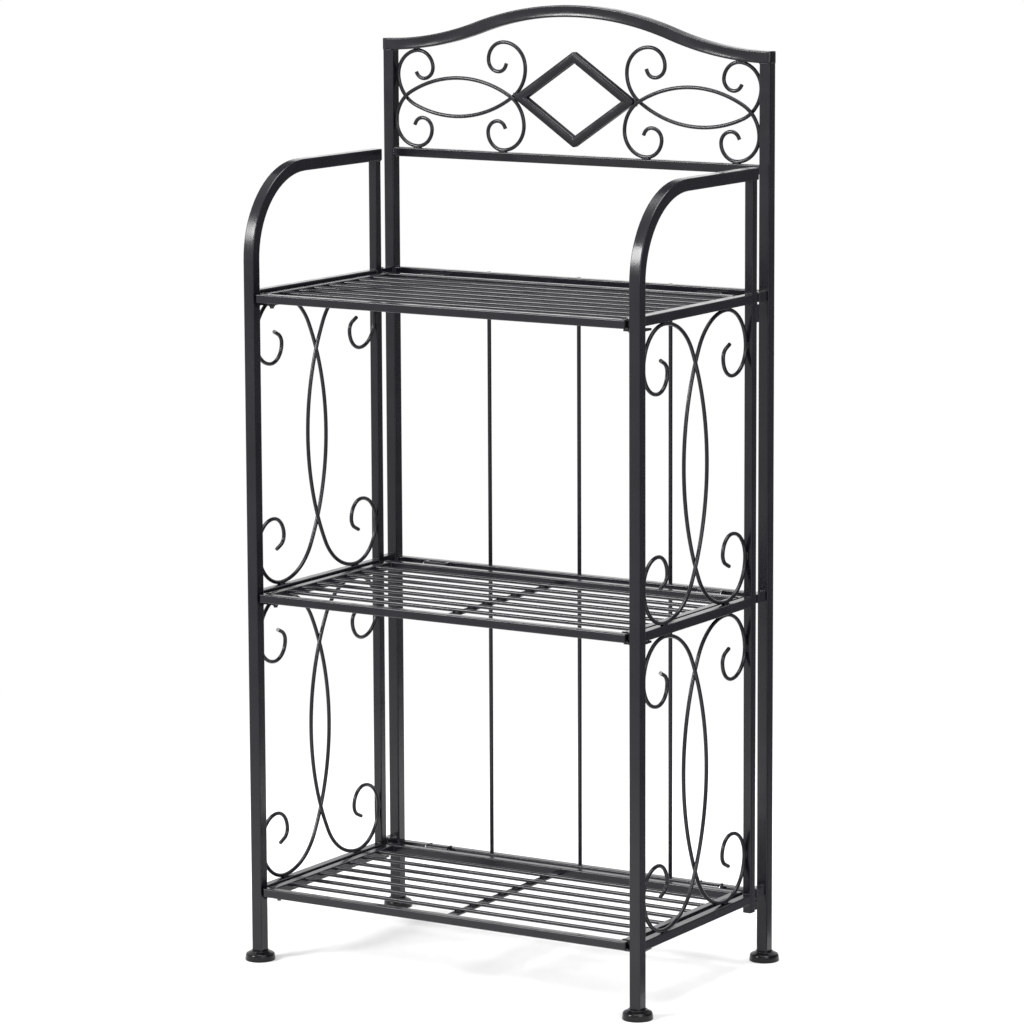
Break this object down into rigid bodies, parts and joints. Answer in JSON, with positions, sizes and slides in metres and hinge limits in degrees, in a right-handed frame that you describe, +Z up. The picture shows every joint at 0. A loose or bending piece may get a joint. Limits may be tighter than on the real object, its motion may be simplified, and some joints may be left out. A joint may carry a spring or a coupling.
{
  "type": "folding bakers rack",
  "caption": "Free-standing folding metal rack with slatted wire shelves that lift on rear hinges, hinged side frames with scrollwork, bent arms and an arched back panel with a diamond.",
  "frame": {"origin": "on the floor, under the middle of the four feet", "axes": "+X to the right as seen from the front, +Y to the back, +Z up"},
  "size_m": [0.6906, 0.4144, 1.3975],
  "materials": {
    "frame": "charcoal black paint, semi-gloss",
    "pin": "zinc-plated steel, satin",
    "foot": "black moulded plastic, gloss"
  },
  "bodies": {
    "back_frame": {"arched_top_rail": "frame", "back_crossbar_bottom": "frame", "back_crossbar_middle": "frame", "back_crossbar_top": "frame", "back_foot_left": "foot", "back_foot_right": "foot", "back_post_left": "frame", "back_post_right": "frame", "back_spindles": "frame", "hinge_standoffs": "frame", "panel_diamond": "frame", "panel_rail": "frame", "panel_scroll_lower_left": "frame", "panel_scroll_lower_right": "frame", "panel_scroll_upper_left": "frame", "panel_scroll_upper_right": "frame", "shelf_hinge_ears": "frame", "shelf_hinge_pins": "pin", "side_hinge_pins": "pin"},
    "side_left": {"corner_gussets_left": "frame", "front_foot_left": "foot", "front_post_and_arm_left": "frame", "gusset_studs_left": "frame", "hinge_lugs_left": "frame", "rear_post_left": "frame", "side_rail_bottom_left": "frame", "side_rail_middle_left": "frame", "side_rail_top_left": "frame", "side_scrolls_lower_left": "frame", "side_scrolls_upper_left": "frame"},
    "side_right": {"corner_gussets_right": "frame", "front_foot_right": "foot", "front_post_and_arm_right": "frame", "gusset_studs_right": "frame", "hinge_lugs_right": "frame", "rear_post_right": "frame", "side_rail_bottom_right": "frame", "side_rail_middle_right": "frame", "side_rail_top_right": "frame", "side_scrolls_lower_right": "frame", "side_scrolls_upper_right": "frame"},
    "shelf_bottom": {"shelf_end_rails_bottom": "frame", "shelf_front_rail_bottom": "frame", "shelf_hinge_leaves_bottom": "frame", "shelf_rear_rail_bottom": "frame", "shelf_strap_bottom": "frame", "shelf_wires_bottom": "frame"},
    "shelf_middle": {"shelf_end_rails_middle": "frame", "shelf_front_rail_middle": "frame", "shelf_hinge_leaves_middle": "frame", "shelf_rear_rail_middle": "frame", "shelf_strap_middle": "frame", "shelf_wires_middle": "frame"},
    "shelf_top": {"shelf_end_rails_top": "frame", "shelf_front_rail_top": "frame", "shelf_hinge_leaves_top": "frame", "shelf_rear_rail_top": "frame", "shelf_strap_top": "frame", "shelf_wires_top": "frame"}
  },
  "joints": [
    {"name": "bottom_shelf_lift", "type": "hinge", "parent": "back_frame", "child": "shelf_bottom", "pos_m": [0, 0.16825, 0.10415], "axis": [-1, 0, 0], "range_deg": [0, 90]},
    {"name": "middle_shelf_lift", "type": "hinge", "parent": "back_frame", "child": "shelf_middle", "pos_m": [0, 0.16825, 0.54415], "axis": [-1, 0, 0], "range_deg": [0, 90]},
    {"name": "top_shelf_lift", "type": "hinge", "parent": "back_frame", "child": "shelf_top", "pos_m": [0, 0.16825, 0.98415], "axis": [-1, 0, 0], "range_deg": [0, 90]},
    {"name": "left_side_swing", "type": "hinge", "parent": "back_frame", "child": "side_left", "pos_m": [-0.32305, 0.15125, 0.115], "axis": [0, 0, -1], "range_deg": [0, 90]},
    {"name": "right_side_swing", "type": "hinge", "parent": "back_frame", "child": "side_right", "pos_m": [0.32305, 0.15125, 0.115], "axis": [0, 0, 1], "range_deg": [0, 90]}
  ]
}
